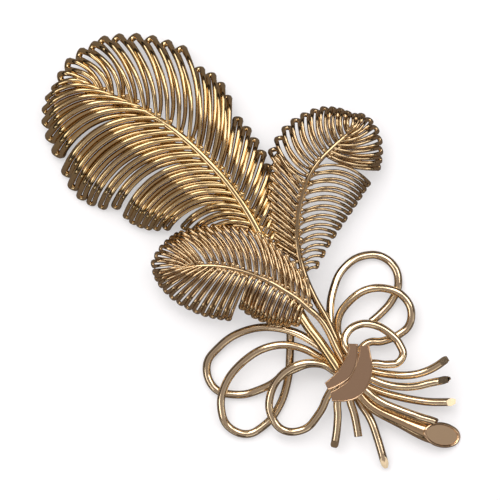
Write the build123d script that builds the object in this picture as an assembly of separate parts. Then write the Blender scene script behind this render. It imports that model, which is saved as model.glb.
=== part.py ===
from build123d import *
import math
import os

os.makedirs("parts", exist_ok=True)

# A gold spray brooch lying flat: three wirework feathers, six bow loops and
# seven cut wire ends all gathered under a knot of two flat bands, beside one
# flaring stem tube. +Z is up towards the viewer, +Y runs along the spray
# towards the tip of the large feather. Lengths are in millimetres.

# Where the knot stands, from the middle of the resting brooch
KNOT_X = -4.9
KNOT_Y = -23.45
# Full height of the spray: every lift below is a share of this
SPRAY_HEIGHT = 8.0

# Wire thicknesses
LOOP_WIRE = 1.25
BARB_WIRE = 0.54
SPINE_WIRE = 1.24

# Clearance between pieces that are fitted but not fused
FIT_GAP = 0.06

# The hidden core that gathers all the wires, under the bands
KNOT_LENGTH = 8.0
CORE_LONG = 7.5
CORE_WIDE = 3.8
CORE_FLOOR = 0.9
CORE_TOP = 6.75
CORE_ROUND = 0.5
KNOT_HEADING = 14.0

# The two flat bands
BAND_THICK = 0.45
BAND_EDGE = 0.12
BAND_FLAT = 0.78
BAND_CURL = 1.5

# The feathers: length from the knot to the tip of the spine, and heading
LARGE_LENGTH = 60.9
LARGE_HEADING = 87.6
RIGHT_LENGTH = 37.7
RIGHT_HEADING = 45.5
LEFT_LENGTH = 30.8
LEFT_HEADING = 102.4

# Barbs: height of the crest over the root, of the knee below it and length of
# the straight foot, as shares of the barb's reach
BARB_CREST = 0.045
BARB_DIP = 0.03
BARB_FOOT = 0.14
# The two legs of a barb are soldered one over the other inside the spine, and
# never come closer than LEG_CLEAR between their centres
LEG_CLEAR = BARB_WIRE * 1.06
ROOT_STAGGER = BARB_WIRE * 0.52
ROOT_SIDE = BARB_WIRE * 0.55

# The spines bend by short arcs between straight runs
SPINE_CORNER = 0.7

# The flaring stem tube
STEM_HEADING = -76.0
STEM_LENGTH = 20.0
STEM_CUT = 31.0
STEM_WALL = 0.32
STEM_INSET = 0.55

# The cut ends of the wires
CUT_SLANT = 40.0

# The plain pin finding under the large feather
PIN_WIRE = 0.8
PIN_LIFT = 0.95
BAR_WIDE = 1.8
BAR_THICK = 0.7
BAR_FLOOR = 4.3
PAD_WIDE = 0.5
PAD_LONG = 1.6
HINGE_WIDE = 2.4
HINGE_LONG = 2.6
CATCH_WIDE = 3.0
CATCH_LONG = 1.4
CATCH_SLOT = 1.15
PIN_FLOOR = 0.3
PIN_NEAR = 0.55
PIN_FAR = 0.10


def place(heading, length, along, across, lift):
    """A point given by shares of a length along and across a heading."""
    turn = math.radians(heading)
    x = KNOT_X + length * (along * math.cos(turn) - across * math.sin(turn))
    y = KNOT_Y + length * (along * math.sin(turn) + across * math.cos(turn))
    return Vector(x, y, lift * SPRAY_HEIGHT)


def arc_by_tangent(start, tangent, end):
    """The arc, or straight run, that leaves start along tangent and ends at end."""
    chord = end - start
    forward = tangent.normalized()
    along = chord.normalized()
    cosine = max(-1.0, min(1.0, forward.dot(along)))
    angle = math.acos(cosine)
    if angle < 1e-3:
        return Edge.make_line(start, end)
    side = (forward - along * cosine).normalized()
    sagitta = 0.5 * chord.length * math.tan(angle / 2)
    middle = start + chord * 0.5 + side * sagitta
    return Edge.make_three_point_arc(start, middle, end)


def arc_pair(start, leave, end, arrive):
    """Two arcs that leave start along one direction and reach end along another."""
    gap = end - start
    both = leave + arrive
    turn = 2 * (1 - leave.dot(arrive))
    reach = gap.dot(both)
    if abs(turn) < 1e-6:
        size = gap.dot(gap) / (2 * reach)
    else:
        size = (-reach + math.sqrt(reach * reach + turn * gap.dot(gap))) / turn
    near = start + leave * size
    far = end - arrive * size
    meet = (near + far) * 0.5
    return [arc_by_tangent(start, leave, meet), arc_by_tangent(end, arrive * -1, meet)]


def directions(points):
    """The direction of a smooth path at each of its points."""
    found = []
    for before, here, after in zip(points, points[1:], points[2:]):
        back = here - before
        ahead = after - here
        mixed = back.normalized() * ahead.length + ahead.normalized() * back.length
        found.append(mixed.normalized())
    first = (points[1] - points[0]).normalized()
    last = (points[-1] - points[-2]).normalized()
    found.insert(0, (first * (2 * first.dot(found[0])) - found[0]).normalized())
    found.append((last * (2 * last.dot(found[-1])) - found[-1]).normalized())
    return found


def smooth_path(points):
    """A wire of arcs that meet smoothly, through every point."""
    leaving = directions(points)
    edges = []
    for number in range(len(points) - 1):
        edges += arc_pair(points[number], leaving[number], points[number + 1], leaving[number + 1])
    return Wire(edges)


def straight_path(points, corner):
    """Straight runs joined by short arcs, each beginning a corner's length away."""
    edges = []
    last = points[0]
    for before, here, after in zip(points, points[1:], points[2:]):
        back = (here - before).normalized()
        ahead = (after - here).normalized()
        enter = here - back * corner
        leave = here + ahead * corner
        edges.append(Edge.make_line(last, enter))
        edges.append(arc_by_tangent(enter, back, leave))
        last = leave
    edges.append(Edge.make_line(last, points[-1]))
    return edges


def round_wire(path, thickness, first=None, seam=0):
    """A round wire along a path, its lengthwise seam turned from the top."""
    start = path @ 0
    aim = path % 0
    if first is not None:
        start = first @ 0
        aim = first % 0
    up = (Vector(0, 0, 1) - aim * aim.Z).normalized()
    turn = math.radians(seam)
    top = up * math.cos(turn) + aim.cross(up) * math.sin(turn)
    ring = Plane(origin=start, x_dir=top, z_dir=aim) * Circle(thickness / 2)
    return sweep(ring, path=path)


def cut_end(shape, tip, toward, slant):
    """Cuts a wire at its tip by a slanting plane that faces up and outward."""
    flat = Vector(toward.X, toward.Y, 0).normalized()
    turn = math.radians(slant)
    facing = Vector(flat.X * math.sin(turn), flat.Y * math.sin(turn), math.cos(turn))
    plane = Plane(origin=tip, z_dir=facing)
    return split(shape, bisect_by=plane, keep=Keep.BOTTOM)


def grown_core():
    """The core enlarged by the fitting clearance, used to trim every wire."""
    return knot_core(FIT_GAP)


def knot_core(extra):
    """The oval block inside the knot."""
    oval = Ellipse(CORE_LONG / 2 + extra, CORE_WIDE / 2 + extra)
    height = CORE_TOP - CORE_FLOOR + 2 * extra
    middle = Location((KNOT_X, KNOT_Y, CORE_FLOOR - extra), (0, 0, KNOT_HEADING))
    block = extrude(oval, height)
    rims = block.edges().filter_by(GeomType.ELLIPSE)
    return middle * fillet(rims, CORE_ROUND)


# Wires of the bow loops. Each row is a point of the wire: along and across as
# shares of the loop's own length, lift as a share of the spray's height.
LOOPS = {
    "loop_left_outer": (22.97, 135.4, [
        (0.03, -0.02, 0.570), (0.08, -0.063, 0.570), (0.22, -0.19, 0.565), (0.43, -0.30, 0.450),
        (0.68, -0.31, 0.290), (0.88, -0.21, 0.165), (0.99, -0.05, 0.105), (0.93, 0.10, 0.085),
        (0.78, 0.14, 0.085), (0.59, 0.09, 0.175), (0.42, -0.02, 0.290), (0.27, -0.07, 0.270),
        (0.12, -0.04, 0.215), (0.03, 0.00, 0.200)]),
    "loop_left_middle": (21.13, 158.5, [
        (0.03, -0.01, 0.400), (0.08, -0.08, 0.400), (0.17, -0.21, 0.425), (0.25, -0.31, 0.440),
        (0.36, -0.39, 0.430), (0.51, -0.43, 0.390), (0.71, -0.40, 0.330), (0.88, -0.31, 0.295),
        (0.98, -0.18, 0.235), (0.99, 0.01, 0.115), (0.90, 0.10, 0.085), (0.73, 0.09, 0.085),
        (0.58, 0.00, 0.090), (0.45, -0.15, 0.110), (0.35, -0.34, 0.135), (0.30, -0.45, 0.150)]),
    "loop_left_inner": (14.05, 162.1, [
        (0.04, 0.02, 0.575), (0.14, -0.09, 0.575), (0.23, -0.23, 0.590), (0.40, -0.34, 0.575),
        (0.64, -0.36, 0.530), (0.88, -0.24, 0.430), (1.01, -0.01, 0.320), (0.96, 0.22, 0.270),
        (0.77, 0.31, 0.275), (0.51, 0.22, 0.330), (0.34, 0.09, 0.380), (0.24, 0.03, 0.400),
        (0.05, 0.01, 0.400)]),
    "loop_right_upper": (19.14, 29.4, [
        (0.06, 0.03, 0.400), (0.11, 0.12, 0.400), (0.22, 0.22, 0.395), (0.38, 0.29, 0.385),
        (0.59, 0.33, 0.325), (0.80, 0.30, 0.220), (0.94, 0.19, 0.130), (0.99, 0.02, 0.090),
        (0.93, -0.11, 0.085), (0.82, -0.17, 0.085), (0.64, -0.15, 0.085), (0.54, -0.10, 0.090),
        (0.45, -0.04, 0.095)]),
    "loop_right_middle": (14.29, 4.0, [
        (0.11, 0.08, 0.240), (0.16, 0.22, 0.240), (0.23, 0.40, 0.235), (0.39, 0.52, 0.250),
        (0.57, 0.54, 0.275), (0.80, 0.48, 0.290), (0.95, 0.33, 0.290), (1.01, 0.15, 0.275),
        (0.94, -0.05, 0.235), (0.80, -0.13, 0.210), (0.66, -0.11, 0.210), (0.50, -0.03, 0.235),
        (0.36, 0.09, 0.250), (0.17, 0.07, 0.250)]),
    "loop_right_lower": (9.03, -14.9, [
        (0.13, 0.06, 0.750), (0.14, 0.34, 0.750), (0.165, 0.56, 0.745), (0.33, 0.68, 0.700),
        (0.57, 0.67, 0.635), (0.77, 0.53, 0.575), (0.91, 0.30, 0.525), (0.97, 0.02, 0.490),
        (0.93, -0.16, 0.490), (0.78, -0.23, 0.515), (0.62, -0.17, 0.540), (0.38, -0.01, 0.575),
        (0.11, 0.06, 0.580)]),
}

# The cut wire ends: length, heading and the slant of the cut, then rows of
# along, across and lift as for the loops
ENDS = {
    "cut_end_right_first": (15.36, -35.6, 35.0, [
        (0.07, 0.06, 0.400), (0.19, 0.00, 0.400), (0.38, -0.07, 0.390), (0.58, -0.11, 0.415),
        (0.74, -0.10, 0.450), (0.87, -0.06, 0.490), (1.00, 0.00, 0.540)]),
    "cut_end_right_second": (15.33, -47.3, 35.0, [
        (0.04, 0.01, 0.575), (0.19, -0.04, 0.575), (0.34, -0.09, 0.565), (0.49, -0.11, 0.550),
        (0.65, -0.10, 0.540), (0.80, -0.06, 0.530), (1.00, -0.01, 0.525)]),
    "cut_end_right_third": (17.02, -60.4, 40.0, [
        (0.03, -0.03, 0.385), (0.16, -0.07, 0.385), (0.31, -0.09, 0.370), (0.48, -0.09, 0.350),
        (0.62, -0.08, 0.340), (0.76, -0.06, 0.325), (1.00, 0.00, 0.315)]),
    "cut_end_right_fourth": (14.62, -73.8, 60.0, [
        (0.06, -0.05, 0.600), (0.21, -0.08, 0.605), (0.40, -0.11, 0.590), (0.63, -0.09, 0.560),
        (0.85, -0.05, 0.520), (1.00, 0.00, 0.500)]),
    "cut_end_lower_first": (12.05, -148.5, 50.0, [
        (0.15, -0.06, 0.415), (0.34, -0.10, 0.415), (0.62, -0.04, 0.350), (0.82, -0.01, 0.290),
        (1.00, 0.00, 0.240)]),
    "cut_end_lower_second": (10.53, -129.0, 85.0, [
        (0.14, -0.06, 0.415), (0.35, -0.07, 0.415), (0.65, -0.02, 0.375), (1.00, 0.00, 0.325)]),
    "cut_end_lower_third": (15.97, -115.0, 45.0, [
        (0.10, -0.02, 0.235), (0.24, -0.03, 0.235), (0.48, 0.02, 0.215), (0.69, 0.02, 0.190),
        (1.00, 0.00, 0.160)]),
}

# The stem tube: along and across as shares of its length, lift, and radius
# as a share of the wire of the loops
STEM = [
    (0.04, -0.07, 0.460, 0.68), (0.13, -0.10, 0.455, 0.68), (0.29, -0.14, 0.400, 0.72),
    (0.51, -0.12, 0.325, 0.90), (0.68, -0.10, 0.270, 1.14), (0.85, -0.05, 0.235, 1.36),
    (1.00, 0.00, 0.235, 1.50)]

# Spines of the feathers, from the tip to the knot: along and across as shares
# of the feather's length, and lift
LARGE_SPINE = [
    (1.000, 0.000, 0.725), (0.942, -0.023, 0.765), (0.865, -0.060, 0.810), (0.799, -0.080, 0.835),
    (0.719, -0.093, 0.850), (0.651, -0.097, 0.845), (0.574, -0.096, 0.820), (0.484, -0.083, 0.780),
    (0.413, -0.066, 0.700), (0.340, -0.055, 0.630), (0.251, -0.022, 0.625), (0.180, -0.002, 0.700),
    (0.107, 0.006, 0.750), (0.035, 0.017, 0.750), (0.000, 0.007, 0.750)]
RIGHT_SPINE = [
    (1.000, 0.000, 0.725), (0.936, 0.075, 0.775), (0.854, 0.151, 0.810), (0.790, 0.184, 0.815),
    (0.707, 0.210, 0.800), (0.616, 0.223, 0.775), (0.529, 0.220, 0.740), (0.433, 0.200, 0.700),
    (0.321, 0.155, 0.665), (0.225, 0.102, 0.640), (0.142, 0.064, 0.610), (0.085, 0.031, 0.590),
    (0.035, 0.001, 0.575)]
LEFT_SPINE = [
    (1.000, 0.000, 0.750), (0.924, -0.060, 0.800), (0.849, -0.103, 0.835), (0.762, -0.137, 0.860),
    (0.673, -0.158, 0.875), (0.599, -0.169, 0.875), (0.519, -0.172, 0.865), (0.447, -0.172, 0.845),
    (0.362, -0.161, 0.825), (0.287, -0.148, 0.810), (0.220, -0.118, 0.790), (0.140, -0.068, 0.765),
    (0.071, -0.031, 0.750), (0.019, -0.025, 0.750)]

# Lobes of barbs. Every barb is a hairpin of wire that leaves the spine, arches
# over and curls down at its tip. Columns: side (left +1, right -1), number of
# hairpins, first and last root as shares of the feather's length from the tip,
# lean from the spine in degrees at the first, middle and last hairpin, reach at
# the same three as shares of the feather's length, bow of the plan towards the
# tip as a share of the reach, share of the reach where the curl begins, drop of
# the curl as a share of the reach, and the space between the legs at the tip
# in barb wires.
LARGE_LOBES = [
    (1, 6, 0.014, 0.175, (27, 35.8, 51.2), (0.106, 0.202, 0.258), 0.09, 0.74, 0.33, 1.20),
    (1, 6, 0.205, 0.356, (61.5, 71.6, 73), (0.273, 0.297, 0.261), 0.15, 0.74, 0.34, 1.25),
    (1, 6, 0.385, 0.509, (77, 77.6, 72.8), (0.256, 0.243, 0.205), 0.18, 0.74, 0.35, 1.20),
    (1, 2, 0.533, 0.560, (72, 71, 70), (0.165, 0.158, 0.150), 0.18, 0.58, 0.34, 1.20),
    (-1, 4, 0.014, 0.094, (-7, 23.5, 37.5), (0.094, 0.130, 0.159), 0.06, 0.72, 0.36, 1.70),
    (-1, 6, 0.131, 0.300, (37.6, 41.6, 42.6), (0.190, 0.224, 0.242), 0.05, 0.74, 0.36, 2.20),
    (-1, 4, 0.330, 0.404, (47, 49, 48), (0.210, 0.211, 0.192), 0.04, 0.74, 0.36, 1.75),
    (-1, 7, 0.432, 0.596, (51, 54, 60), (0.160, 0.134, 0.048), 0.02, 0.62, 0.40, 1.45),
]
RIGHT_LOBES = [
    (1, 9, 0.006, 0.279, (54, 59.4, 68), (0.083, 0.187, 0.190), -0.125, 0.66, 0.36, 1.20),
    (1, 6, 0.322, 0.520, (57, 50, 45), (0.180, 0.156, 0.130), 0.02, 0.66, 0.06, 1.15),
    (-1, 6, 0.006, 0.135, (-34, 29, 61), (0.078, 0.172, 0.222), -0.09, 0.66, 0.38, 1.20),
    (-1, 10, 0.228, 0.618, (72, 83.5, 85.5), (0.238, 0.195, 0.079), 0.16, 0.62, 0.38, 1.30),
]
LEFT_LOBES = [
    (1, 10, 0.012, 0.324, (-1, 53, 84), (0.172, 0.262, 0.252), 0.02, 0.66, 0.40, 1.20),
    (1, 6, 0.362, 0.600, (91, 98, 110), (0.172, 0.180, 0.118), 0.04, 0.62, 0.36, 1.20),
    (-1, 4, 0.006, 0.090, (16, 40, 50), (0.172, 0.193, 0.210), 0.02, 0.66, 0.36, 1.15),
    (-1, 7, 0.132, 0.396, (46, 46, 49), (0.222, 0.250, 0.255), 0.02, 0.66, 0.16, 1.15),
    (-1, 6, 0.440, 0.650, (50, 46, 42), (0.245, 0.215, 0.160), 0.02, 0.66, 0.00, 1.15),
]


def blend(three, share):
    """Value at a share of the way through a first, middle and last value."""
    first, middle, last = three
    bend = 2 * (first + last - 2 * middle)
    rise = last - first - bend
    return first + rise * share + bend * share * share


class Spine:
    """A feather's spine, found again at any distance from its tip."""

    def __init__(self, length, heading, rows):
        self.points = [place(heading, length, *row) for row in rows]
        self.aims = directions(self.points)
        self.edges = straight_path(self.points, SPINE_CORNER)
        self.path = Wire(self.edges)

    def at(self, distance):
        """Point and level direction towards the tip, at a distance from the tip."""
        left = distance
        for edge in self.edges:
            if left <= edge.length:
                break
            left -= edge.length
        share = min(1.0, left / edge.length)
        return edge.position_at(share), self.tipward(distance)

    def tipward(self, distance):
        """The level direction towards the tip, which turns evenly from point to point."""
        left = distance
        aims = zip(self.points, self.points[1:], self.aims, self.aims[1:])
        for here, after, aim, next_aim in aims:
            run = (after - here).length
            if left <= run:
                break
            left -= run
        share = min(1.0, left / run)
        mixed = aim * (1 - share) + next_aim * share
        return Vector(-mixed.X, -mixed.Y, 0).normalized()


def turned(level, degrees):
    """A level direction turned anticlockwise."""
    turn = math.radians(degrees)
    return Vector(level.X * math.cos(turn) - level.Y * math.sin(turn),
                  level.X * math.sin(turn) + level.Y * math.cos(turn), 0)


def hairpin(spine, side, root, lean, reach, bow, bend, drop, space):
    """The centre line of one barb: two legs, joined by a bend at the tip."""
    centre, ahead = spine.at(root)
    outward = turned(ahead, side * lean)
    tipward = turned(outward, -90 * side)
    legs = []
    for leg in (1, -1):
        points = []
        rows = ((0, 0), (bend / 2, BARB_CREST), (bend, -BARB_DIP), (1, -drop))
        for share, lift in rows:
            step = ROOT_STAGGER * max(0.0, 1 - share / bend)
            apart = ROOT_SIDE + (space - ROOT_SIDE) * share
            if share > 0:
                apart = max(apart, math.sqrt(LEG_CLEAR ** 2 - (2 * step) ** 2))
            slope = 4 * bow * (1 - 2 * share)
            across = (tipward - outward * slope).normalized()
            sway = tipward * (4 * bow * reach * share * (1 - share)) + across * (leg * apart / 2)
            points.append(centre + outward * (reach * share) + sway
                          + Vector(0, 0, lift * reach + leg * step))
        aim = Edge.make_three_point_arc(*points[:3]).tangent_at(0)
        knee = points[0] + aim * (BARB_FOOT * reach)
        rise_end = end_direction(knee, aim, points[2])
        legs.append((Edge.make_line(points[0], knee), arc_by_tangent(knee, aim, points[2]),
                     arc_by_tangent(points[2], rise_end, points[3]), points[3],
                     end_direction(points[2], rise_end, points[3])))
    (foot_a, rise_a, curl_a, tip_a, last_a), (foot_b, rise_b, curl_b, tip_b, last_b) = legs
    turn = arc_pair(tip_a, last_a, tip_b, last_b * -1)
    return Wire([foot_a, rise_a, curl_a] + turn + [curl_b, rise_b, foot_b]), foot_a


def end_direction(start, tangent, end):
    """The direction in which the arc that leaves along tangent arrives."""
    forward = tangent.normalized()
    along = (end - start).normalized()
    return (along * (2 * along.dot(forward)) - forward).normalized()


def barb_lines(spine, length, lobes):
    """Centre lines of every barb of a feather."""
    lines = []
    for side, count, first, last, lean, reach, bow, bend, drop, space in lobes:
        for number in range(count):
            share = number / (count - 1)
            root = (first + (last - first) * share) * length
            lines.append(hairpin(spine, side, root, blend(lean, share),
                                 blend(reach, share) * length,
                                 bow, bend, drop, space * BARB_WIRE))
    return lines


def solder(body, line):
    """A barb joined to the spine; its seam is turned until the joint closes."""
    path, foot = line
    for seam in (0, 90, 180, 270, 45, 135, 225, 315, 30, 60):
        barb = round_wire(path, BARB_WIRE, foot, seam)
        joined = body.fuse(barb)
        gain = joined.volume - body.volume
        if len(joined.solids()) == 1 and 0.4 * barb.volume < gain < barb.volume:
            return joined.solids()[0], True
    return body, False


def feather(length, heading, spine_rows, lobes):
    """Spine and all its barbs, soldered into one piece."""
    spine = Spine(length, heading, spine_rows)
    body = one_solid(round_wire(spine.path, SPINE_WIRE) - grown_core())
    missed = []
    for number, line in enumerate(barb_lines(spine, length, lobes)):
        body, closed = solder(body, line)
        if not closed:
            missed.append(number)
    if missed:
        print("barbs left out:", missed)
    return body


def one_solid(shape):
    """The largest solid of a result."""
    solids = sorted(shape.solids(), key=lambda solid: solid.volume, reverse=True)
    return solids[0]


def loop(name):
    length, heading, rows = LOOPS[name]
    path = smooth_path([place(heading, length, *row) for row in rows])
    return one_solid(round_wire(path, LOOP_WIRE) - grown_core())


def cut_wire(name):
    length, heading, slant, rows = ENDS[name]
    points = [place(heading, length, *row) for row in rows]
    path = smooth_path(points)
    wire = round_wire(path, LOOP_WIRE) - grown_core()
    middle = points[-1] - (path % 1) * (LOOP_WIRE / 2)
    return one_solid(cut_end(wire, middle, path % 1, slant))


def stem_tube():
    """The flaring tube, cut on the slant, with a flat plate set in its mouth."""
    points = [place(STEM_HEADING, STEM_LENGTH, *row[:3]) for row in STEM]
    sections = []
    inner = []
    for point, aim, row in zip(points, directions(points), STEM):
        plane = Plane(origin=point, z_dir=aim)
        sections.append(plane * Circle(row[3] * LOOP_WIRE))
        inner.append(plane * Circle(row[3] * LOOP_WIRE - STEM_WALL))
    tube = loft(sections)
    bore = loft(inner[3:])
    aim = directions(points)[-2]
    flat = Vector(aim.X, aim.Y, 0).normalized()
    turn = math.radians(STEM_CUT)
    facing = Vector(flat.X * math.sin(turn), flat.Y * math.sin(turn), math.cos(turn))
    mouth = Plane(origin=points[5], z_dir=facing)
    floor = Plane(origin=points[5] - facing * STEM_INSET, z_dir=facing)
    tube = split(tube, bisect_by=mouth, keep=Keep.BOTTOM)
    cup = split(bore, bisect_by=floor, keep=Keep.TOP)
    return one_solid(tube - cup - grown_core())


def band(rows, top):
    """A flat strip: rows of along, across and half width as shares of the knot."""
    middle = Location((KNOT_X, KNOT_Y, 0), (0, 0, KNOT_HEADING))
    centre = [Vector(row[0] * KNOT_LENGTH, row[1] * KNOT_LENGTH, 0) for row in rows]
    aims = directions(centre)
    left = []
    right = []
    for point, aim, row in zip(centre, aims, rows):
        sideways = turned(aim, 90) * (row[2] * KNOT_LENGTH)
        left.append(point + sideways)
        right.append(point - sideways)
    outline = Wire([*smooth_path(left).edges(), Edge.make_line(left[-1], right[-1]),
                    *smooth_path(right[::-1]).edges(), Edge.make_line(right[0], left[0])])
    plan = extrude(make_face(outline), SPRAY_HEIGHT * 2)
    half = BAND_FLAT * KNOT_LENGTH / 2
    far = KNOT_LENGTH
    inside = BAND_CURL
    outer = BAND_CURL + BAND_THICK
    turn = math.radians(70)
    profile = []
    for radius in (outer, inside):
        end_x = half + radius * math.sin(turn)
        end_z = top - outer + radius * math.cos(turn)
        profile.append((radius, end_x, end_z))
    edges = []
    for radius, end_x, end_z in profile:
        level = top - outer + radius
        low = turn / 2
        edges.append([
            Edge.make_three_point_arc(Vector(-end_x, 0, end_z),
                                      Vector(-half - radius * math.sin(low), 0,
                                             top - outer + radius * math.cos(low)),
                                      Vector(-half, 0, level)),
            Edge.make_line(Vector(-half, 0, level), Vector(half, 0, level)),
            Edge.make_three_point_arc(Vector(half, 0, level),
                                      Vector(half + radius * math.sin(low), 0,
                                             top - outer + radius * math.cos(low)),
                                      Vector(end_x, 0, end_z))])
    closing = [Edge.make_line(Vector(side * profile[0][1], 0, profile[0][2]),
                              Vector(side * profile[1][1], 0, profile[1][2])) for side in (-1, 1)]
    section = make_face(Wire(edges[0] + edges[1] + closing))
    slab = extrude(section, far, both=True)
    strip = one_solid(slab & plan)
    return middle * strip


UPPER_BAND = [
    (-0.42, 0.30, 0.06), (-0.23, 0.18, 0.12), (0.01, 0.13, 0.13), (0.28, 0.18, 0.10),
    (0.46, 0.26, 0.08), (0.60, 0.34, 0.08)]
LOWER_BAND = [
    (-0.60, 0.16, 0.06), (-0.45, -0.02, 0.12), (-0.25, -0.15, 0.21), (0.03, -0.16, 0.21),
    (0.32, -0.08, 0.14), (0.51, 0.03, 0.09), (0.66, 0.13, 0.08)]


def pin_finding(spine):
    """Hinge, pin and catch on one bar, soldered under the large feather."""
    near, ignored = spine.at(PIN_NEAR * LARGE_LENGTH)
    far, ignored = spine.at(PIN_FAR * LARGE_LENGTH)
    run = Vector(far.X - near.X, far.Y - near.Y, 0)
    heading = math.degrees(math.atan2(run.Y, run.X))
    length = run.length
    bar_top = BAR_FLOOR + BAR_THICK
    bar = Pos(length / 2, 0, BAR_FLOOR) * extrude(
        RectangleRounded(length + HINGE_LONG, BAR_WIDE, BAR_WIDE * 0.3), BAR_THICK)
    hinge = Pos(0, 0, PIN_FLOOR) * extrude(
        RectangleRounded(HINGE_LONG, HINGE_WIDE, 0.5), bar_top - PIN_FLOOR - 0.1)
    catch = Pos(length, 0, PIN_FLOOR) * extrude(
        RectangleRounded(CATCH_LONG, CATCH_WIDE, 0.4), bar_top - PIN_FLOOR - 0.1)
    slot = Pos(length, -CATCH_WIDE / 2, PIN_LIFT) * Box(CATCH_LONG * 2, CATCH_WIDE, CATCH_SLOT)
    slot_end = Pos(length, 0, PIN_LIFT) * Rot(0, 90, 0) * Cylinder(CATCH_SLOT / 2, CATCH_LONG * 2)
    pin_path = Wire([Edge.make_line(Vector(0, 0, PIN_LIFT), Vector(length + CATCH_LONG * 1.2, 0, PIN_LIFT))])
    pin = round_wire(pin_path, PIN_WIRE)
    body = bar + hinge + (catch - slot - slot_end) + pin
    for distance, point in ((0.0, near), (length, far)):
        top = point.Z - SPINE_WIRE / 2 - FIT_GAP
        high = top - bar_top + 0.2
        body = body + Pos(distance, 0, bar_top - 0.2 + high / 2) * Box(PAD_LONG, PAD_WIDE, high)
    return one_solid(Location((near.X, near.Y, 0), (0, 0, heading)) * body)


def save(shape, name):
    export_step(shape, "parts/" + name + ".step")


def main():
    save(knot_core(0.0), "knot_core")
    save(band(UPPER_BAND, CORE_TOP + 2 * BAND_THICK + 3 * FIT_GAP), "upper_band")
    save(band(LOWER_BAND, CORE_TOP + BAND_THICK + 1.5 * FIT_GAP), "lower_band")
    for name in LOOPS:
        save(loop(name), name)
    for name in ENDS:
        save(cut_wire(name), name)
    save(stem_tube(), "stem_tube")
    save(pin_finding(Spine(LARGE_LENGTH, LARGE_HEADING, LARGE_SPINE)), "pin_finding")
    save(feather(LARGE_LENGTH, LARGE_HEADING, LARGE_SPINE, LARGE_LOBES), "large_feather")
    save(feather(RIGHT_LENGTH, RIGHT_HEADING, RIGHT_SPINE, RIGHT_LOBES), "right_feather")
    save(feather(LEFT_LENGTH, LEFT_HEADING, LEFT_SPINE, LEFT_LOBES), "left_feather")


main()
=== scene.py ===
# %% [markdown]
# # A gold feather brooch, dressed for its portrait
# The brooch lies flat on white paper and is seen from straight above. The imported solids
# already hold every wire at its true size and place, and eleven of them only need the
# finish of polished gold. The three feathers, whose barbs swell and taper in a way the
# plain solids leave out, are modelled again as finer wirework. The two bands and five of
# the cut wire ends are drawn again too, and the mouth of the stem gets a lip and a plate.

# %% Load the frame
import bpy
import math
import random
from mathutils import Matrix, Vector


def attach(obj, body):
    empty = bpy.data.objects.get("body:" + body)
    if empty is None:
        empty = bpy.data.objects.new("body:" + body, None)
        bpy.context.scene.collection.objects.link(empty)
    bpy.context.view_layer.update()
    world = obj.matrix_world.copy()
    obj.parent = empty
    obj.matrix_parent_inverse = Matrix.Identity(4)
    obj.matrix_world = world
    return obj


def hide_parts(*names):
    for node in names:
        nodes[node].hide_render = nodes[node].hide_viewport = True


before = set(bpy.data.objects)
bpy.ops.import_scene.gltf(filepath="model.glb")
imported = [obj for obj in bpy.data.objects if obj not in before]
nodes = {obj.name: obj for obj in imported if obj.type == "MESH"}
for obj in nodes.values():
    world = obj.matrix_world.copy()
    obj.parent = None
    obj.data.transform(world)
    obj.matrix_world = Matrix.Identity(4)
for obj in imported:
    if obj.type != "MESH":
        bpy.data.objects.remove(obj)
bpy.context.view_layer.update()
print("solids in the frame:", len(nodes))

# %% [markdown]
# ## Where things stand
# The spray fans out from a knot. Lengths are in metres where nothing else is said, and
# every heading is the angle from +X at the knot, so a wire is told by how far along and
# across its heading it runs. The same few shares place the spines here and in the solids.

# %% The knot and the places around it
MM = 0.001
KNOT = Vector((-4.9, -23.45, 0)) * MM
SPRAY_HEIGHT = 8.0 * MM


def place(length, heading, along, across, lift):
    """A point by its shares of a length along and across a heading, and of the height."""
    turn = math.radians(heading)
    x = length * (along * math.cos(turn) - across * math.sin(turn))
    y = length * (along * math.sin(turn) + across * math.cos(turn))
    return KNOT + Vector((x, y, lift * SPRAY_HEIGHT))


def turned(level, degrees):
    """A level direction turned anticlockwise."""
    return Matrix.Rotation(math.radians(degrees), 3, "Z") @ level


print("knot at", [round(value, 5) for value in KNOT])

# %% [markdown]
# ## Wire as a bevelled curve
# Drawn gold wire keeps its round section however it bends. A Bezier curve with a round
# bevel does the same, and each point's radius lets the wire swell or taper. A strip has a
# drawn outline in place of the round one. The curve is turned into a mesh once it has its
# shape, so it can be joined and exported.

# %% A helper that draws one wire
def wire(name, points, thickness, swell=None, around=4, between=4, section=None):
    """A wire through points, round or of a given section; swell holds radius factors."""
    bpy.ops.object.select_all(action="DESELECT")
    bpy.ops.curve.primitive_bezier_curve_add(location=(0, 0, 0))
    piece = bpy.context.object
    piece.name = name
    curve = piece.data
    curve.dimensions = "3D"
    spline = curve.splines[0]
    spline.bezier_points.add(len(points) - 2)
    for number, (knob, point) in enumerate(zip(spline.bezier_points, points)):
        knob.co = point
        knob.handle_left_type = "AUTO"
        knob.handle_right_type = "AUTO"
        knob.radius = swell[number] if swell else 1.0
    curve.resolution_u = between
    curve.bevel_depth = thickness / 2
    curve.bevel_resolution = around
    curve.use_fill_caps = True
    curve.twist_mode = "MINIMUM"
    if section:
        curve.bevel_mode = "OBJECT"
        curve.bevel_object = section
        curve.twist_mode = "Z_UP"
    bpy.ops.object.convert(target="MESH")
    bpy.ops.object.shade_smooth()
    return bpy.context.object


def joined(name, parts):
    """Several meshes made one piece."""
    bpy.ops.object.select_all(action="DESELECT")
    for part in parts:
        part.select_set(True)
    bpy.context.view_layer.objects.active = parts[0]
    bpy.ops.object.join()
    piece = bpy.context.object
    piece.name = name
    return piece


# %% [markdown]
# ## The spines
# Each feather hangs on one stout wire that bends gently and thins towards its tip. A
# curve through a dozen points follows such a bend, where a mesh would need its rings
# moved one by one. The rows run from the tip to the knot: along, across and lift, as
# shares.

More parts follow.
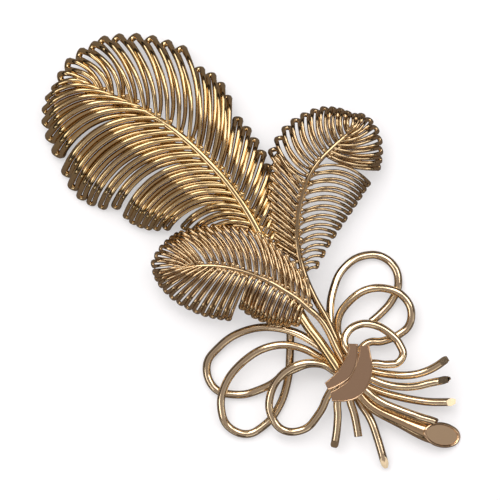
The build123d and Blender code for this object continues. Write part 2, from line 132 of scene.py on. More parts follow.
# %% Rows of the three spines
LARGE_LENGTH, LARGE_HEADING = 60.9 * MM, 87.6
LARGE_SPINE = [
    (1.000, 0.000, 0.725), (0.942, -0.023, 0.765), (0.865, -0.060, 0.810), (0.799, -0.080, 0.835),
    (0.719, -0.093, 0.850), (0.651, -0.097, 0.845), (0.574, -0.096, 0.820), (0.484, -0.083, 0.780),
    (0.413, -0.066, 0.700), (0.340, -0.055, 0.630), (0.251, -0.022, 0.625), (0.180, -0.002, 0.700),
    (0.107, 0.006, 0.750), (0.035, 0.017, 0.750)]
RIGHT_LENGTH, RIGHT_HEADING = 37.7 * MM, 45.5
RIGHT_SPINE = [
    (1.000, 0.000, 0.725), (0.936, 0.075, 0.775), (0.854, 0.151, 0.810), (0.790, 0.184, 0.815),
    (0.707, 0.210, 0.800), (0.616, 0.223, 0.775), (0.529, 0.220, 0.740), (0.433, 0.200, 0.700),
    (0.321, 0.155, 0.665), (0.225, 0.102, 0.640), (0.142, 0.064, 0.610), (0.085, 0.031, 0.590)]
LEFT_LENGTH, LEFT_HEADING = 30.8 * MM, 102.4
LEFT_SPINE = [
    (1.000, 0.000, 0.750), (0.924, -0.060, 0.800), (0.849, -0.103, 0.835), (0.762, -0.137, 0.860),
    (0.673, -0.158, 0.875), (0.599, -0.169, 0.875), (0.519, -0.172, 0.865), (0.447, -0.172, 0.845),
    (0.362, -0.161, 0.825), (0.287, -0.148, 0.810), (0.220, -0.118, 0.790), (0.140, -0.068, 0.765),
    (0.071, -0.031, 0.750)]


def spine_points(length, heading, rows):
    return [place(length, heading, *row) for row in rows]


def directions(points):
    """The direction of a smooth path at each of its points."""
    found = []
    for before, here, after in zip(points, points[1:], points[2:]):
        back = here - before
        ahead = after - here
        mixed = back.normalized() * ahead.length + ahead.normalized() * back.length
        found.append(mixed.normalized())
    first = (points[1] - points[0]).normalized()
    last = (points[-1] - points[-2]).normalized()
    found.insert(0, first * (2 * first.dot(found[0])) - found[0])
    found.append(last * (2 * last.dot(found[-1])) - found[-1])
    return found


def walk(points, aims, distance):
    """Point and level direction towards the tip, at a distance from the tip."""
    left = distance
    for here, after, aim, next_aim in zip(points, points[1:], aims, aims[1:]):
        run = (after - here).length
        if left <= run:
            break
        left -= run
    share = min(1.0, left / run)
    aim = aim.lerp(next_aim, share)
    return here.lerp(after, share), Vector((-aim.x, -aim.y, 0)).normalized()


print("spine points:", len(LARGE_SPINE), len(RIGHT_SPINE), len(LEFT_SPINE))

# %% [markdown]
# ## The lobes of barbs
# A barb is a hairpin: one wire goes out from the spine, turns back on itself at the tip
# and comes home beside itself. It rises a little, then curls down like a claw. Barbs
# stand in lobes, and each row is one lobe: side (left +1, right -1), count, first and
# last root from the tip, lean in degrees and reach, each at the first, middle and last
# barb, bow, where the curl begins, how deep it drops, and the wire's thickness in
# millimetres. Roots and reach are shares of the feather's length, and bow, curl and drop
# are shares of the barb's reach. The two legs of a barb stand as far apart as its
# neighbours leave room for. A row for each lobe keeps its rhythm even, which barbs placed
# one by one would lose.

# %% Rows of the lobes
LARGE_LOBES = [
    (1, 6, 0.014, 0.175, (27, 35.8, 51.2), (0.099, 0.199, 0.256), 0.17, 0.74, 0.33, 0.90),
    (1, 6, 0.205, 0.356, (61.5, 71.6, 73), (0.273, 0.297, 0.261), 0.17, 0.74, 0.34, 0.94),
    (1, 6, 0.385, 0.509, (77, 77.6, 72.8), (0.256, 0.243, 0.205), 0.18, 0.74, 0.345, 0.84),
    (1, 3, 0.530, 0.580, (72, 71, 70), (0.168, 0.158, 0.146), 0.18, 0.58, 0.34, 0.74),
    (-1, 4, 0.014, 0.094, (-7, 23.5, 37.5), (0.086, 0.127, 0.159), -0.16, 0.72, 0.36, 0.78),
    (-1, 6, 0.131, 0.300, (37.6, 41.6, 42.6), (0.190, 0.224, 0.242), -0.10, 0.74, 0.36, 0.79),
    (-1, 4, 0.330, 0.404, (47, 49, 48), (0.210, 0.211, 0.192), -0.06, 0.74, 0.36, 0.73),
    (-1, 9, 0.432, 0.640, (51, 54, 60), (0.160, 0.130, 0.052), -0.02, 0.66, 0.40, 0.68),
]
RIGHT_LOBES = [
    (1, 10, 0.006, 0.279, (54, 59.4, 68), (0.083, 0.187, 0.190), -0.125, 0.68, 0.36, 0.57),
    (1, 10, 0.312, 0.610, (57, 50, 45), (0.180, 0.156, 0.120), 0.02, 0.66, 0.10, 0.55),
    (-1, 8, 0.006, 0.135, (-34, 29, 61), (0.078, 0.172, 0.222), -0.09, 0.68, 0.38, 0.54),
    (-1, 11, 0.228, 0.650, (72, 83.5, 85.5), (0.238, 0.195, 0.062), 0.16, 0.66, 0.38, 0.47),
]
LEFT_LOBES = [
    (1, 12, 0.012, 0.324, (-1, 53, 84), (0.172, 0.262, 0.252), 0.02, 0.68, 0.40, 0.48),
    (1, 8, 0.356, 0.640, (91, 98, 110), (0.172, 0.180, 0.108), 0.04, 0.64, 0.36, 0.60),
    (-1, 6, 0.006, 0.090, (16, 40, 50), (0.172, 0.193, 0.210), -0.06, 0.68, 0.36, 0.46),
    (-1, 9, 0.126, 0.400, (46, 46, 49), (0.222, 0.250, 0.255), -0.10, 0.68, 0.16, 0.50),
    (-1, 8, 0.436, 0.680, (50, 46, 42), (0.245, 0.210, 0.150), -0.05, 0.68, 0.04, 0.50),
]


def between_three(three, share):
    """Value at a share of the way through a first, middle and last value."""
    first, middle, last = three
    bend = 2 * (first + last - 2 * middle)
    return first + (last - first - bend) * share + bend * share * share


print("barbs:", [sum(row[1] for row in rows) for rows in (LARGE_LOBES, RIGHT_LOBES, LEFT_LOBES)])

# %% [markdown]
# ## One barb
# The leg climbs as a flat arch as far as the knee, where a piece of an ellipse takes over
# as the curl. At the spine the two legs lie nearly one over the other, which is how the
# front leg of each pair comes to stand a little higher. The legs part soon after the root
# and keep apart, as far as the room allows, until a small turn joins them at the tip. In a
# filled lobe they touch nearly all the way and are as thick as it takes to fill the room.
# One curve for the whole hairpin gives the smooth turn that two legs and a cap would
# miss. Angles are in degrees.

# %% The line of a barb
ROOT_STAGGER = 0.28 * MM
STAGGER_FADE = 0.35
LEG_SINK = 0.30 * MM
ROOT_SIDE = 0.30 * MM
ROOT_DEPTH = 0.30 * MM
ARCH_RISE, ARCH_FALL = 0.21, 0.24
ARCH_PARTS = (0.0, 0.22, 0.46, 0.72, 1.0)
CURL_PARTS = (0.45, 0.75, 1.0)
CURL_END = 62
OPEN_BY, CLOSE_FROM, CLOSE_EASE = 0.16, 0.66, 1.5
NEAR_SHARE, FAR_SHARE = 0.15, 0.80
LEG_CLEAR = 0.98
LEAST_SPACE = 0.6
TIP_SPACE = 1.08
TIP_SHARE = 0.90
TIP_LONG = 0.62
TIP_DIP = 58
TURN_STEPS = (45, 90, 135)
THINNEST, FULLEST = 0.85, 1.45


def arch(bend, drop):
    """Rows of share and lift down one leg, both as shares of its reach."""
    rows = []
    for part in ARCH_PARTS:
        rows.append((bend * part, ARCH_RISE * part - ARCH_FALL * part * part))
    knee = ARCH_RISE - ARCH_FALL
    full = 1 - math.cos(math.radians(CURL_END))
    for part in CURL_PARTS:
        angle = math.radians(CURL_END * part)
        rows.append((bend + (1 - bend) * math.sin(angle) / math.sin(math.radians(CURL_END)),
                     knee - (drop + knee) * (1 - math.cos(angle)) / full))
    return rows


def room_along(share, room):
    """The room that a barb has between its neighbours at a share of its reach."""
    near, far = room
    return near + (far - near) * share / FAR_SHARE


def leg_space(share, room, thick):
    """The space between the legs' middles, and how far they have closed to the tip."""
    wide = max(LEAST_SPACE * thick, room_along(share, room) - LEG_CLEAR * thick)
    opening = min(1.0, share / OPEN_BY)
    wide = ROOT_SIDE + (wide - ROOT_SIDE) * opening
    closing = max(0.0, (share - CLOSE_FROM) / (1 - CLOSE_FROM)) ** CLOSE_EASE
    tip = max(TIP_SPACE * thick, TIP_SHARE * (room_along(1.0, room) - thick))
    return wide + (tip - wide) * closing, closing


def fill(share, room, thick):
    """How much thicker than its wire a leg is where a pair fills its room."""
    return max(THINNEST, min(FULLEST, room_along(share, room) / (2 * thick)))


def barb_points(spine, side, root, lean, reach, bow, bend, drop, room, thick, full):
    """Points of a barb from one root, round the tip, to the other root."""
    centre, ahead = walk(*spine, root)
    outward = turned(ahead, side * lean)
    tipward = turned(outward, -90 * side)
    legs = []
    for leg in (1, -1):
        line = []
        for share, lift in arch(bend, drop):
            apart, closing = leg_space(share, room, thick)
            if full:
                apart = thick * fill(share, room, thick)
            step = ROOT_STAGGER * (1 - STAGGER_FADE * share) * (1 - closing)
            if leg < 0:
                step += LEG_SINK * math.sin(math.radians(180 * share)) * (1 - closing)
            depth = ROOT_DEPTH * max(0.0, 1 - 2 * share)
            slope = 4 * bow * (1 - 2 * share)
            across = (tipward - outward * slope).normalized()
            line.append(centre + outward * (reach * share)
                        + tipward * (4 * bow * reach * share * (1 - share))
                        + across * (leg * apart / 2)
                        + Vector((0, 0, lift * reach + leg * step - depth)))
        legs.append(line)
    upper, lower = legs
    middle = (upper[-1] + lower[-1]) / 2
    half = upper[-1] - middle
    dip = math.radians(TIP_DIP)
    onward = outward * math.cos(dip) - Vector((0, 0, math.sin(dip)))
    turn = []
    for degrees in TURN_STEPS:
        angle = math.radians(degrees)
        turn.append(middle + half * math.cos(angle)
                    + onward * (TIP_LONG * half.length * math.sin(angle)))
    return upper + turn + lower[::-1]


# %% [markdown]
# ## A whole feather
# The spine is drawn first, then one barb after another down each lobe, with a bead of
# solder beside its root where the picture shows one, and all are joined as the solderer
# joins them. The finished feather stands for its plain solid. A swell row has a radius
# factor for each point down a leg. Beads: shift along the spine, lift and radius in
# millimetres, and how far out from the spine's middle, as a share of its thickness.

# %% Build the feathers
BARB_SWELL = (0.72, 0.84, 0.95, 1.0, 1.0, 1.10, 1.22, 1.34)
FILLED_SWELL = (0.80, 0.94, 1.0, 1.0, 1.0, 1.0, 0.97, 0.94)
SPINE_TAPER = 1.5
BEAD_SEED = 7
BEAD_SHIFT = (-0.3, 0.3)
BEAD_OUT = (0.42, 0.66)
BEAD_LIFT = (0.05, 0.36)
BEAD_RADIUS = (0.30, 0.44)
BEAD_FLAT = 0.8


def lobe_barbs(length, count, first, last, lean, reach):
    """Root, lean and reach of each barb in a lobe."""
    barbs = []
    for number in range(count):
        share = number / (count - 1)
        barbs.append(((first + (last - first) * share) * length,
                      between_three(lean, share), between_three(reach, share) * length))
    return barbs


def room_at(spine, side, barbs, share):
    """How far apart the barbs of a lobe stand at a share of their reach, one by one."""
    spots = []
    for root, lean, reach in barbs:
        centre, ahead = walk(*spine, root)
        outward = turned(ahead, side * lean)
        spots.append((centre + outward * (share * reach), outward))
    room = []
    for number, (spot, outward) in enumerate(spots):
        steps = []
        for other in (number - 1, number + 1):
            if 0 <= other < len(spots):
                step = spots[other][0] - spot
                step -= outward * step.dot(outward)
                steps.append(step.xy.length)
        room.append(sum(steps) / len(steps))
    return room


def bead(centre, radius):
    """A small lump of solder."""
    bpy.ops.object.select_all(action="DESELECT")
    bpy.ops.mesh.primitive_uv_sphere_add(segments=10, ring_count=7, radius=radius,
                                         location=centre)
    bpy.ops.transform.resize(value=(1.0, 1.0, BEAD_FLAT))
    bpy.ops.object.transform_apply(location=True, rotation=False, scale=True)
    bpy.ops.object.shade_smooth()
    return bpy.context.object


def solder(spine, side, root, base):
    """A bead of solder beside the spine, near the root of a barb."""
    centre, ahead = walk(*spine, root + random.uniform(*BEAD_SHIFT) * MM)
    outward = turned(ahead, side * 90)
    spot = centre + outward * (base * random.uniform(*BEAD_OUT))
    spot.z += random.uniform(*BEAD_LIFT) * MM
    return bead(spot, random.uniform(*BEAD_RADIUS) * MM)


def feather(name, length, heading, rows, lobes, base, tip, beaded, filled=()):
    """Spine and barbs as one piece; base and tip are the spine's thicknesses.

    Beaded and filled name the sides that have beads of solder and filled lobes.
    """
    points = spine_points(length, heading, rows)
    spine = (points, directions(points))
    swell = [1 + (tip / base - 1) * (1 - number / (len(points) - 1)) ** SPINE_TAPER
             for number in range(len(points))]
    parts = [wire(name + "_spine", points, base, swell, around=5, between=6)]
    random.seed(BEAD_SEED)
    for side, count, first, last, lean, reach, bow, bend, drop, thick in lobes:
        thick *= MM
        full = side in filled
        barbs = lobe_barbs(length, count, first, last, lean, reach)
        near = room_at(spine, side, barbs, NEAR_SHARE)
        far = room_at(spine, side, barbs, FAR_SHARE)
        for barb, room in zip(barbs, zip(near, far)):
            line = barb_points(spine, side, *barb, bow, bend, drop, room, thick, full)
            leg = list(BARB_SWELL)
            if full:
                leg = [fill(share, room, thick) * more
                       for (share, _), more in zip(arch(bend, drop), FILLED_SWELL)]
            swell = leg + [leg[-1]] * len(TURN_STEPS) + leg[::-1]
            parts.append(wire(name + "_barb", line, thick, swell, around=3, between=4))
            if side in beaded:
                parts.append(solder(spine, side, barb[0], base))
    piece = joined(name + "_wirework", parts)
    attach(piece, "root")
    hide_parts(name)
    print(name, "wires:", len(parts), "faces:", len(piece.data.polygons))
    return piece


large = feather("large_feather", LARGE_LENGTH, LARGE_HEADING, LARGE_SPINE, LARGE_LOBES,
                base=1.62 * MM, tip=0.85 * MM, beaded=(-1,), filled=(1,))
right = feather("right_feather", RIGHT_LENGTH, RIGHT_HEADING, RIGHT_SPINE, RIGHT_LOBES,
                base=1.10 * MM, tip=0.66 * MM, beaded=(1, -1))
left = feather("left_feather", LEFT_LENGTH, LEFT_HEADING, LEFT_SPINE, LEFT_LOBES,
               base=1.10 * MM, tip=0.66 * MM, beaded=(1, -1))

# %% [markdown]
# ## The two bands of the knot
# Each band is a strip hammered flat. Its outline is a squashed circle with soft edges,
# drawn along the middle of the strip, wider and narrower as the strip is. Its top is then
# pressed level, and a thin round rim runs along each edge, a little proud of the top.
# Without the pressing the top would roll with the path and catch the light in blotches.
# Rows: along, across and half width as shares of the knot's length, and how far the
# strip dips, in millimetres.

# %% Press the bands
KNOT_LENGTH, KNOT_HEADING = 8.0 * MM, 14.0
BAND_THICK = 0.45 * MM
SIDE_HANDLE, FACE_HANDLE = 0.55, 0.97
FACE_UP = 0.88
BAND_CREASE = 30
RIM_THICK = 0.26 * MM
RIM_PROUD = 0.09 * MM
UPPER_TOP = 7.83 * MM
LOWER_TOP = 7.29 * MM
UPPER_BAND = [
    (-0.46, 0.31, 0.07, 0.03), (-0.40, 0.275, 0.085, 0.00), (-0.30, 0.225, 0.10, 0.00),
    (-0.15, 0.165, 0.12, 0.00), (0.01, 0.14, 0.13, 0.00), (0.28, 0.18, 0.105, 0.00),
    (0.42, 0.24, 0.09, 0.00), (0.52, 0.29, 0.085, 0.15)]
LOWER_BAND = [
    (-0.58, 0.13, 0.09, 0.04), (-0.52, 0.06, 0.11, 0.00), (-0.42, -0.04, 0.15, 0.00),
    (-0.25, -0.155, 0.185, 0.00), (0.03, -0.175, 0.19, 0.00), (0.32, -0.08, 0.15, 0.00),
    (0.50, 0.02, 0.105, 0.00), (0.60, 0.085, 0.09, 0.20)]


def flat_section(half_wide, half_thick):
    """The outline of a flat strip whose edges are softly rounded."""
    bpy.ops.object.select_all(action="DESELECT")
    bpy.ops.curve.primitive_bezier_circle_add(radius=1.0, location=(0, 0, 0))
    section = bpy.context.object
    section.data.resolution_u = 8
    for knob in section.data.splines[0].bezier_points:
        on_side = abs(knob.co.x) > 0.5
        reach = SIDE_HANDLE * half_thick if on_side else FACE_HANDLE * half_wide
        before = (knob.handle_left - knob.co).normalized() * reach
        after = (knob.handle_right - knob.co).normalized() * reach
        spot = Vector((knob.co.x * half_wide, knob.co.y * half_thick, 0))
        knob.handle_left_type = "FREE"
        knob.handle_right_type = "FREE"
        knob.co = spot
        knob.handle_left = spot + before
        knob.handle_right = spot + after
    return section


def press_flat(piece, top):
    """Level the face of a strip, as a flat punch does, and keep its edge crisp."""
    facing = [vertex.normal.z for vertex in piece.data.vertices]
    for vertex, upward in zip(piece.data.vertices, facing):
        if upward > FACE_UP or vertex.co.z > top:
            vertex.co.z = top
    bpy.ops.object.shade_smooth_by_angle(angle=math.radians(BAND_CREASE))


def rim(name, rows, top, side):
    """The thin rounded edge of a strip, which catches the light as a line."""
    level = (top - RIM_THICK / 2) / SPRAY_HEIGHT
    line = [place(KNOT_LENGTH, KNOT_HEADING, row[0], row[1], level) for row in rows]
    edge = []
    for point, aim, row in zip(line, directions(line), rows):
        across = Vector((-aim.y, aim.x, 0)).normalized()
        edge.append(point + across * (side * (row[2] * KNOT_LENGTH - RIM_THICK / 4)))
    return wire(name + "_rim", edge, RIM_THICK, around=3, between=6)


def band(name, rows, top):
    """A pressed strip with its two rims, whose top lies at a height."""
    widest = max(row[2] for row in rows)
    points = []
    swell = []
    for along, across, half, dip in rows:
        level = (top - BAND_THICK / 2 - dip * MM) / SPRAY_HEIGHT
        points.append(place(KNOT_LENGTH, KNOT_HEADING, along, across, level))
        swell.append(half / widest)
    section = flat_section(widest * KNOT_LENGTH, BAND_THICK / 2)
    piece = wire(name + "_strip", points, 0.0, swell, between=10, section=section)
    press_flat(piece, top - RIM_PROUD)
    bpy.data.objects.remove(section)
    piece = joined(name + "_strip", [piece, rim(name, rows, top, 1), rim(name, rows, top, -1)])
    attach(piece, "root")
    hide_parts(name)
    return piece


bands = [band("upper_band", UPPER_BAND, UPPER_TOP), band("lower_band", LOWER_BAND, LOWER_TOP)]
print("bands:", [len(piece.data.polygons) for piece in bands])

# %% [markdown]
# ## The mouth of the stem tube
# The flaring tube is cut on the slant. A rolled lip runs round the cut, and a flat plate
# closes it. The lip is a wire bent to an oval in the plane of the cut, because a round
# wire draws the bright line that a sharp edge of the solid can't.

# %% Roll the lip and set the plate
STEM_LENGTH, STEM_HEADING = 20.0 * MM, -76.0
MOUTH_ALONG, MOUTH_ACROSS, MOUTH_LIFT = 0.855, -0.048, 0.235
MOUTH_AIM = -59.0
MOUTH_CUT = 31.0
MOUTH_LONG, MOUTH_WIDE = 3.22 * MM, 1.74 * MM
LIP_THICK = 0.46 * MM
LIP_STEPS = 16

mouth_centre = place(STEM_LENGTH, STEM_HEADING, MOUTH_ALONG, MOUTH_ACROSS, MOUTH_LIFT)
mouth_turn = (Matrix.Rotation(math.radians(MOUTH_AIM), 3, "Z")
              @ Matrix.Rotation(math.radians(MOUTH_CUT), 3, "Y"))
lip_points = []
for number in range(LIP_STEPS + 1):
    angle = math.radians(360 * number / LIP_STEPS)
    spot = Vector((MOUTH_LONG * math.cos(angle), MOUTH_WIDE * math.sin(angle), 0))
    lip_points.append(mouth_centre + mouth_turn @ spot)
lip = wire("stem_lip", lip_points, LIP_THICK, around=5, between=6)
bpy.ops.object.select_all(action="DESELECT")
bpy.ops.mesh.primitive_circle_add(vertices=64, radius=1.0, fill_type="NGON")
plate = bpy.context.object
plate.scale = (MOUTH_LONG, MOUTH_WIDE, 1.0)
bpy.ops.object.transform_apply(location=False, rotation=False, scale=True)
plate.matrix_world = Matrix.Translation(mouth_centre) @ mouth_turn.to_4x4()
bpy.ops.object.transform_apply(location=True, rotation=True, scale=True)
mouth = joined("stem_mouth", [lip, plate])
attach(mouth, "root")
print("mouth faces:", len(mouth.data.polygons))

# %% [markdown]
# ## The slanted cuts
# Five of the seven straight wires are drawn again along their own lines and cut by a
# tilted plane, as side cutters do, which leaves the true oval face that a curve's own cap
# hasn't. Four of them have a long face that looks up at the viewer, and the fourth on the
# right is cut nearly square. Each entry: length in millimetres, heading, slant of the face
# and its turn to the left in degrees, then rows of along, across and lift as shares. The
# cut goes through the last row but one.

# %% Cut five wire ends
CUT_WIRE = 1.25 * MM
CUT_CREASE = 40
SLANT_ENDS = {
    "cut_end_right_first": (15.36, -35.6, 59.0, 0.0, [
        (0.07, 0.06, 0.400), (0.19, 0.00, 0.400), (0.38, -0.07, 0.390), (0.58, -0.11, 0.415),
        (0.74, -0.10, 0.450), (0.87, -0.06, 0.490), (0.95, -0.02, 0.520), (1.08, 0.035, 0.575)]),
    "cut_end_right_second": (15.33, -47.3, 59.0, 0.0, [
        (0.04, 0.01, 0.575), (0.19, -0.04, 0.575), (0.34, -0.09, 0.565), (0.49, -0.11, 0.550),
        (0.65, -0.10, 0.540), (0.80, -0.06, 0.530), (0.94, -0.025, 0.526), (1.08, 0.02, 0.524)]),
    "cut_end_right_third": (17.02, -60.4, 51.0, -12.0, [
        (0.10, -0.05, 0.385), (0.16, -0.07, 0.385), (0.31, -0.09, 0.370), (0.48, -0.09, 0.350),
        (0.62, -0.08, 0.340), (0.76, -0.06, 0.325), (0.95, -0.01, 0.317), (1.12, 0.03, 0.31)]),
    "cut_end_lower_third": (15.97, -115.0, 57.0, 0.0, [
        (0.16, -0.025, 0.235), (0.24, -0.03, 0.235), (0.48, 0.02, 0.215), (0.69, 0.02, 0.190),
        (0.93, 0.005, 0.170), (1.10, 0.00, 0.15)]),
    "cut_end_right_fourth": (14.62, -73.8, 20.0, 0.0, [
        (0.12, -0.06, 0.600), (0.21, -0.08, 0.605), (0.40, -0.11, 0.590), (0.63, -0.09, 0.560),
        (0.85, -0.055, 0.520), (1.04, -0.02, 0.400), (1.14, -0.02, 0.340)]),
}


def slanted(name, length, heading, slant, swing, rows):
    """A wire whose far end is cut by a plane that faces up and outward."""
    points = [place(length * MM, heading, *row) for row in rows]
    piece = wire(name + "_wire", points, CUT_WIRE, around=6, between=8)
    middle, beyond = points[-2:]
    aim = beyond - middle
    level = turned(Vector((aim.x, aim.y, 0)).normalized(), swing)
    tilt = math.radians(slant)
    facing = level * math.cos(tilt) + Vector((0, 0, math.sin(tilt)))
    bpy.ops.object.mode_set(mode="EDIT")
    bpy.ops.mesh.select_all(action="SELECT")
    bpy.ops.mesh.bisect(plane_co=middle, plane_no=facing, clear_outer=True, use_fill=True)
    bpy.ops.object.mode_set(mode="OBJECT")
    bpy.ops.object.shade_smooth_by_angle(angle=math.radians(CUT_CREASE))
    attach(piece, "root")
    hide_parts(name)
    return piece


cut_ends = [slanted(name, *row) for name, row in SLANT_ENDS.items()]
print("slanted ends:", [len(piece.data.polygons) for piece in cut_ends])

# %% [markdown]
# ## Polished gold
# Real polish is never perfect: the colour drifts a little from place to place, fine wipe
# marks lie in the surface, and handling dulls it in patches. Noise on Object coordinates
# gives each of these at its own scale, so the pattern stays with the metal. Scales count
# the patches in a metre, and the wipe marks have one for each direction.

# %% A recipe for gold
DRIFT_SCALE, DRIFT_DETAIL = 160.0, 3.0
WEAR_SCALE, WEAR_DETAIL = 700.0, 4.0
WEAR_FROM, WEAR_TO = 0.35, 0.75
MARK_SCALES, MARK_DETAIL = (9000.0, 1300.0, 4000.0), 5.0
MARK_TURN = (0.3, 0.2, 0.9)
MARK_DEPTH = 0.1 * MM


def plain_material(name):
    """A new material, its node tree and its shader."""
    material = bpy.data.materials.new(name)
    material.use_nodes = True
    return material, material.node_tree, material.node_tree.nodes["Principled BSDF"]


def noise(tree, where, scale, detail):
    """The value of a noise texture that is read at a place."""
    texture = tree.nodes.new("ShaderNodeTexNoise")
    texture.inputs["Scale"].default_value = scale
    texture.inputs["Detail"].default_value = detail
    tree.links.new(where, texture.inputs["Vector"])
    return texture.outputs["Fac"]


def blend(tree, share, first, second, target):
    """Mix two colours by a share and feed the result to an input."""
    mix = tree.nodes.new("ShaderNodeMix")
    mix.data_type = "RGBA"
    mix.inputs["A"].default_value = (*first, 1)
    mix.inputs["B"].default_value = (*second, 1)
    tree.links.new(share, mix.inputs["Factor"])
    tree.links.new(mix.outputs["Result"], target)


def roughen(tree, height, strength, depth, target):
    """Bump a surface by a height and feed its normals to an input."""
    bump = tree.nodes.new("ShaderNodeBump")
    bump.inputs["Strength"].default_value = strength
    bump.inputs["Distance"].default_value = depth
    tree.links.new(height, bump.inputs["Height"])
    tree.links.new(bump.outputs["Normal"], target)


def gold(name, colour, deep, roughness, wear=0.06, grain=0.02):
    """Polished gold: colour drifts to deep, and roughness by wear."""
    material, tree, shader = plain_material(name)
    shader.inputs["Metallic"].default_value = 1.0
    where = tree.nodes.new("ShaderNodeTexCoord").outputs["Object"]
    drift = noise(tree, where, DRIFT_SCALE, DRIFT_DETAIL)
    blend(tree, drift, colour, deep, shader.inputs["Base Color"])
    spread = tree.nodes.new("ShaderNodeMapRange")
    spread.inputs["From Min"].default_value = WEAR_FROM
    spread.inputs["From Max"].default_value = WEAR_TO
    spread.inputs["To Min"].default_value = roughness
    spread.inputs["To Max"].default_value = roughness + wear
    tree.links.new(noise(tree, where, WEAR_SCALE, WEAR_DETAIL), spread.inputs["Value"])
    tree.links.new(spread.outputs["Result"], shader.inputs["Roughness"])
    stretch = tree.nodes.new("ShaderNodeMapping")
    stretch.inputs["Scale"].default_value = MARK_SCALES
    stretch.inputs["Rotation"].default_value = MARK_TURN
    tree.links.new(where, stretch.inputs["Vector"])
    marks = noise(tree, stretch.outputs["Vector"], 1.0, MARK_DETAIL)
    roughen(tree, marks, grain, MARK_DEPTH, shader.inputs["Normal"])
    return material


def dress(piece, material):
    piece.data.materials.clear()
    piece.data.materials.append(material)


# One gold at several brightnesses: it is painted darker on the large feather and darker still on
# the two small ones, and lighter on the wires. This is painted shade and painted light for how the
# light falls on each part.
barb_gold_shaded = gold("barb_gold_shaded", (0.81, 0.605, 0.345), (0.74, 0.525, 0.24), 0.11)
right_gold_shaded = gold("right_gold_shaded", (0.66, 0.485, 0.30), (0.60, 0.43, 0.22), 0.11)
left_gold_shaded = gold("left_gold_shaded", (0.74, 0.545, 0.34), (0.68, 0.485, 0.25), 0.11)
wire_gold_lit = gold("wire_gold_lit", (0.99, 0.79, 0.54), (0.95, 0.735, 0.45), 0.11)
band_gold = gold("band_gold", (0.93, 0.65, 0.41), (0.91, 0.63, 0.39), 0.09,
                 wear=0.03, grain=0.01)
tube_gold = gold("tube_gold", (0.94, 0.70, 0.44), (0.90, 0.63, 0.35), 0.12)
pin_gold = gold("pin_gold", (0.88, 0.63, 0.34), (0.80, 0.53, 0.24), 0.28,
                wear=0.15, grain=0.08)

# %% Dress every piece
NODE_GOLDS = {"stem_tube": tube_gold, "pin_finding": pin_gold}

for piece, material in ((large, barb_gold_shaded), (right, right_gold_shaded), (left, left_gold_shaded)):
    dress(piece, material)
for piece in (*bands, mouth):
    dress(piece, band_gold)
for piece in cut_ends:
    dress(piece, wire_gold_lit)
for name, node in nodes.items():
    dress(node, NODE_GOLDS.get(name, wire_gold_lit))
print("dressed:", len(nodes), "solids,", len(bands), "bands and", len(cut_ends), "cut ends")

# %% [markdown]
# ## The table and the light
# Polished metal shows only what is around it, so the room matters more than the lamps. A
# grey opening straight above gives the flat faces their brown, a brighter ring lower down
# lights the slopes, and a dark band above the horizon draws the thin dark edges. The soft
# boxes draw the highlights.
#
# The paper does two jobs at once. The camera sees it burnt out to white, and the metal
# sees it as a painted darker grey, which is painted shade in its reflections and draws
# their thin dark edges. A Light Path node tells the two apart, and a glow for the camera
# alone is painted light that lightens the shadows on the paper.

# %% The paper on the table
PAPER_SIZE = 600 * MM
PAPER_DROP = 0.05 * MM
# Painted shade: the paper is painted darker in the metal's reflections than it looks to the
# camera.
PAPER_SHADED_IN_METAL = (0.13, 0.112, 0.102)
PAPER_IN_PICTURE = (0.50, 0.493, 0.497)
# Painted light: a glow for camera rays alone, which lightens the paper's shadows.
PAPER_PAINTED_GLOW = 0.45
FIBRE_SCALE, FIBRE_DETAIL = 2400.0, 4.0
FIBRE_DEPTH = 0.05 * MM


def white_paper():
    """Matt paper that looks white to the camera, with a painted glow, and is painted a darker grey
    in reflections.
    """
    material, tree, shader = plain_material("white_paper")
    shader.inputs["Roughness"].default_value = 0.7
    shader.inputs["Specular IOR Level"].default_value = 0.1
    where = tree.nodes.new("ShaderNodeTexCoord").outputs["Object"]
    fibre = noise(tree, where, FIBRE_SCALE, FIBRE_DETAIL)
    roughen(tree, fibre, 0.05, FIBRE_DEPTH, shader.inputs["Normal"])
    seen = tree.nodes.new("ShaderNodeLightPath").outputs["Is Camera Ray"]
    # Painted shade: the metal sees the paper in a darker colour than the camera does.
    blend(tree, seen, PAPER_SHADED_IN_METAL, PAPER_IN_PICTURE, shader.inputs["Base Color"])
    # Painted light: only the camera sees the paper glow, which lightens its shadows.
    glow = tree.nodes.new("ShaderNodeMath")
    glow.operation = "MULTIPLY"
    glow.inputs[1].default_value = PAPER_PAINTED_GLOW
    tree.links.new(seen, glow.inputs[0])
    shader.inputs["Emission Color"].default_value = (1.0, 0.99, 0.99, 1)
    tree.links.new(glow.outputs["Value"], shader.inputs["Emission Strength"])
    return material


bpy.ops.object.select_all(action="DESELECT")
bpy.ops.mesh.primitive_plane_add(size=PAPER_SIZE, location=(0, 0, -PAPER_DROP))
floor = bpy.context.object
floor.name = "table"
dress(floor, white_paper())
print("paper:", PAPER_SIZE, "m wide")

# %% The room around the brooch
# Steps of place and brightness, from the horizon, 0, to straight above, 1, by the sine of
# the height.
HORIZON = (0.02, 0.018, 0.015)
OPENING = (0.27, 0.235, 0.24)
ROOM_STEPS = ((0.28, 0.02), (0.42, 0.08), (0.60, 0.28), (0.75, 0.36), (0.90, 0.30), (0.97, 0.26))
ROOM_TINT = 0.90

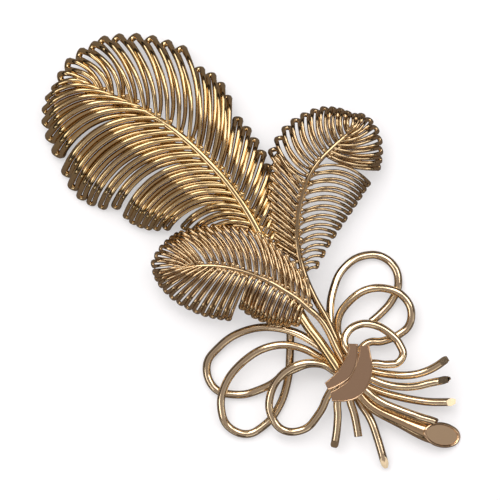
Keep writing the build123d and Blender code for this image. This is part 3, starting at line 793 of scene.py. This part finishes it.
world = bpy.data.worlds.new("room")
bpy.context.scene.world = world
world.use_nodes = True
tree = world.node_tree
background = tree.nodes["Background"]
direction = tree.nodes.new("ShaderNodeTexCoord")
split = tree.nodes.new("ShaderNodeSeparateXYZ")
tree.links.new(direction.outputs["Generated"], split.inputs["Vector"])
height = tree.nodes.new("ShaderNodeValToRGB")
ramp = height.color_ramp
ramp.elements[0].position = 0.0
ramp.elements[0].color = (*HORIZON, 1)
ramp.elements[1].position = 1.0
ramp.elements[1].color = (*OPENING, 1)
for position, value in ROOM_STEPS:
    stop = ramp.elements.new(position)
    stop.color = (value, value * ROOM_TINT, value * ROOM_TINT, 1)
tree.links.new(split.outputs["Z"], height.inputs["Fac"])
tree.links.new(height.outputs["Color"], background.inputs["Color"])
background.inputs["Strength"].default_value = 1.0
print("steps in the room's ramp:", len(ramp.elements))

# %% The soft boxes
# Degrees anticlockwise from the picture's right, and up from the table; width and height
# in degrees too, and how many times brighter than white paper each one shines. The last
# one whitens the paper and doesn't show in the metal.
LAMP_FAR = 0.70
PICTURE_TURN = -45.0
SOFTBOXES = {
    "key_softbox": (112, 54, 22, 44, 2.8),
    "right_softbox": (16, 48, 18, 32, 2.4),
    "spine_softbox": (52, 56, 18, 40, 2.6),
    "left_softbox": (212, 40, 30, 18, 1.9),
    "low_left_softbox": (238, 12, 30, 8, 1.2),
    "end_card": (-74, 26, 26, 20, 0.7),
    "low_softbox": (-14, 11, 16, 9, 1.25),
    "grey_card": (-30, 28, 36, 20, 0.28),
    "paper_light": (128, 62, 54, 48, 2.6),
}


def softbox(name, round_about, up, wide, high, glow):
    """A rectangular lamp that faces the brooch."""
    data = bpy.data.lights.new(name, "AREA")
    data.shape = "RECTANGLE"
    data.size = 2 * LAMP_FAR * math.tan(math.radians(wide / 2))
    data.size_y = 2 * LAMP_FAR * math.tan(math.radians(high / 2))
    data.energy = glow * math.pi * data.size * data.size_y
    made = bpy.data.objects.new(name, data)
    bpy.context.scene.collection.objects.link(made)
    turn = math.radians(round_about + PICTURE_TURN)
    lift = math.radians(up)
    made.location = Vector((math.cos(turn) * math.cos(lift), math.sin(turn) * math.cos(lift),
                            math.sin(lift))) * LAMP_FAR
    made.rotation_euler = (-made.location).to_track_quat("-Z", "Y").to_euler()
    return made


lamps = {name: softbox(name, *row) for name, row in SOFTBOXES.items()}
lamps["paper_light"].visible_glossy = False
print("lamps:", len(lamps))

# %% [markdown]
# ## The camera
# The picture is taken from straight above with a long lens, so the brooch keeps its
# outline, and the camera is rolled so that the large feather points to the upper left.
# The lens is as long as it takes for the picture to show a given width at the height of
# the wires.

# %% Place the camera
PHOTO_WIDTH = 78.1 * MM
VIEW_HEIGHT = 0.80
WIRE_HEIGHT = 0.005
SENSOR = 36.0
VIEW_CENTRE = KNOT + Vector((2.43, 24.97, 0)) * MM

camera_data = bpy.data.cameras.new("camera")
camera_data.type = "PERSP"
camera_data.sensor_width = SENSOR
camera_data.lens = SENSOR * (VIEW_HEIGHT - WIRE_HEIGHT) / PHOTO_WIDTH
camera_data.clip_start = 0.05
camera_data.clip_end = 10.0
camera = bpy.data.objects.new("camera", camera_data)
bpy.context.scene.collection.objects.link(camera)
camera.location = (VIEW_CENTRE.x, VIEW_CENTRE.y, VIEW_HEIGHT)
camera.rotation_euler = (0, 0, math.radians(PICTURE_TURN))
bpy.context.scene.camera = camera
bpy.context.scene.view_settings.view_transform = "Standard"
bpy.context.scene.view_settings.exposure = 0.0
print("lens in millimetres:", round(camera_data.lens, 1))
